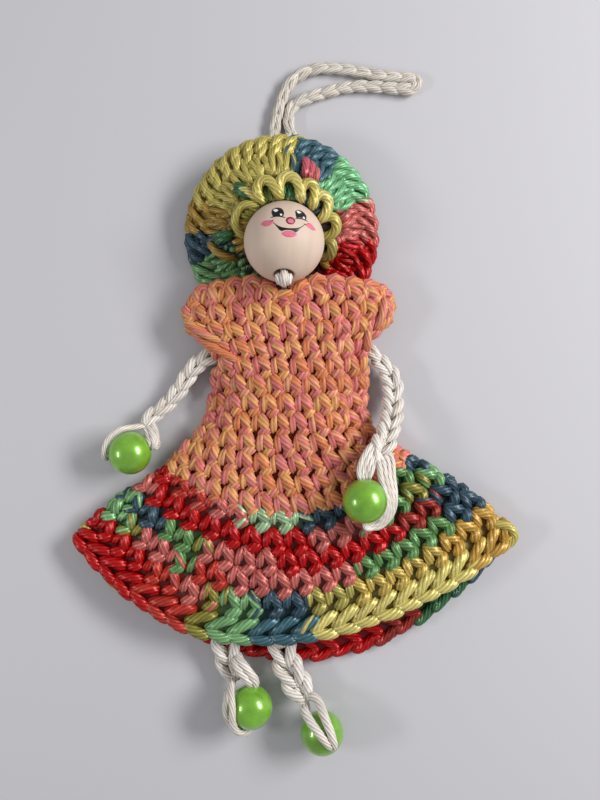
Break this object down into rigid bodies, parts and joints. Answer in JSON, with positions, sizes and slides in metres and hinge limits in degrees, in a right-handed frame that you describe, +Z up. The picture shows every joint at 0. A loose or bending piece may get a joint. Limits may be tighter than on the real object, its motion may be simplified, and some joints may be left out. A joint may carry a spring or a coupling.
{
  "type": "crocheted doll",
  "caption": "Flat crocheted doll with a wooden bead head, striped hat and skirt, cord limbs with bead hands and feet, and a hanging loop.",
  "frame": {"origin": "on the surface that the doll lies on, under the waist, at the back of the bodice", "axes": "+Y from the feet towards the hat, +Z up from the doll's back to its front, +X to the viewer's right"},
  "size_m": [0.1426, 0.2253, 0.0295],
  "materials": {
    "wood": "smooth sanded, unvarnished",
    "cotton": "off-white crocheted cotton",
    "hat_yarn": "crocheted cotton in yellow, green, blue, salmon and red runs",
    "bodice_yarn": "crocheted cotton in marled orange, peach and pink",
    "skirt_yarn": "crocheted cotton in red, salmon, green, blue and yellow runs",
    "green_bead": "glossy with a pearl sheen"
  },
  "bodies": {
    "dress": {"bodice": "bodice_yarn", "skirt": "skirt_yarn", "torso_cord": "cotton", "shoulder_cord": "cotton", "head_cord": "cotton", "neck_knot": "cotton"},
    "head": {"head_bead": "wood"},
    "hat": {"hat": "hat_yarn"},
    "loop": {"hanging_loop": "cotton"},
    "left_arm": {"left_arm": "cotton"},
    "right_arm": {"right_arm": "cotton"},
    "left_leg": {"left_leg": "cotton"},
    "right_leg": {"right_leg": "cotton"},
    "left_hand": {"left_hand_bead": "green_bead"},
    "right_hand": {"right_hand_bead": "green_bead"},
    "left_foot": {"left_foot_bead": "green_bead"},
    "right_foot": {"right_foot_bead": "green_bead"}
  },
  "joints": [
    {"name": "head_turn", "type": "hinge", "parent": "dress", "child": "head", "pos_m": [-0.0016, 0.049, 0.017], "axis": [0, 0.9063, -0.4226], "continuous": true},
    {"name": "hat_lift", "type": "slide", "parent": "dress", "child": "hat", "axis": [0, 0.9781, -0.2079], "range_m": [0, 0.004]},
    {"name": "loop_swing", "type": "hinge", "parent": "dress", "child": "loop", "pos_m": [-0.00325, 0.07438, 0.00517], "axis": [0, 0, 1], "range_deg": [-15, 60]},
    {"name": "left_arm_swing", "type": "hinge", "parent": "dress", "child": "left_arm", "pos_m": [-0.0252, 0.0143, 0.0053], "axis": [0, 0, -1], "range_deg": [-4, 45]},
    {"name": "right_arm_swing", "type": "hinge", "parent": "dress", "child": "right_arm", "pos_m": [0.0266, 0.0143, 0.0053], "axis": [0, 0, 1], "range_deg": [-4, 60]},
    {"name": "left_leg_swing", "type": "hinge", "parent": "dress", "child": "left_leg", "pos_m": [-0.0134, -0.05, 0.0051], "axis": [0, 0, -1], "range_deg": [-3, 30]},
    {"name": "right_leg_swing", "type": "hinge", "parent": "dress", "child": "right_leg", "pos_m": [-0.0076, -0.05, 0.0051], "axis": [0, 0, 1], "range_deg": [-3, 30]},
    {"name": "left_hand_spin", "type": "hinge", "parent": "left_arm", "child": "left_hand", "pos_m": [-0.0516, -0.0171, 0.007], "axis": [0.9659, 0.259, 0], "continuous": true},
    {"name": "right_hand_spin", "type": "hinge", "parent": "right_arm", "child": "right_hand", "pos_m": [0.0234, -0.0312, 0.0183], "axis": [0, 1, 0], "continuous": true},
    {"name": "left_foot_spin", "type": "hinge", "parent": "left_leg", "child": "left_foot", "pos_m": [-0.0125, -0.0991, 0.007], "axis": [0.1, 0.995, 0], "continuous": true},
    {"name": "right_foot_spin", "type": "hinge", "parent": "right_leg", "child": "right_foot", "pos_m": [0.0104, -0.1075, 0.007], "axis": [-0.4504, 0.3003, -0.8408], "continuous": true}
  ]
}
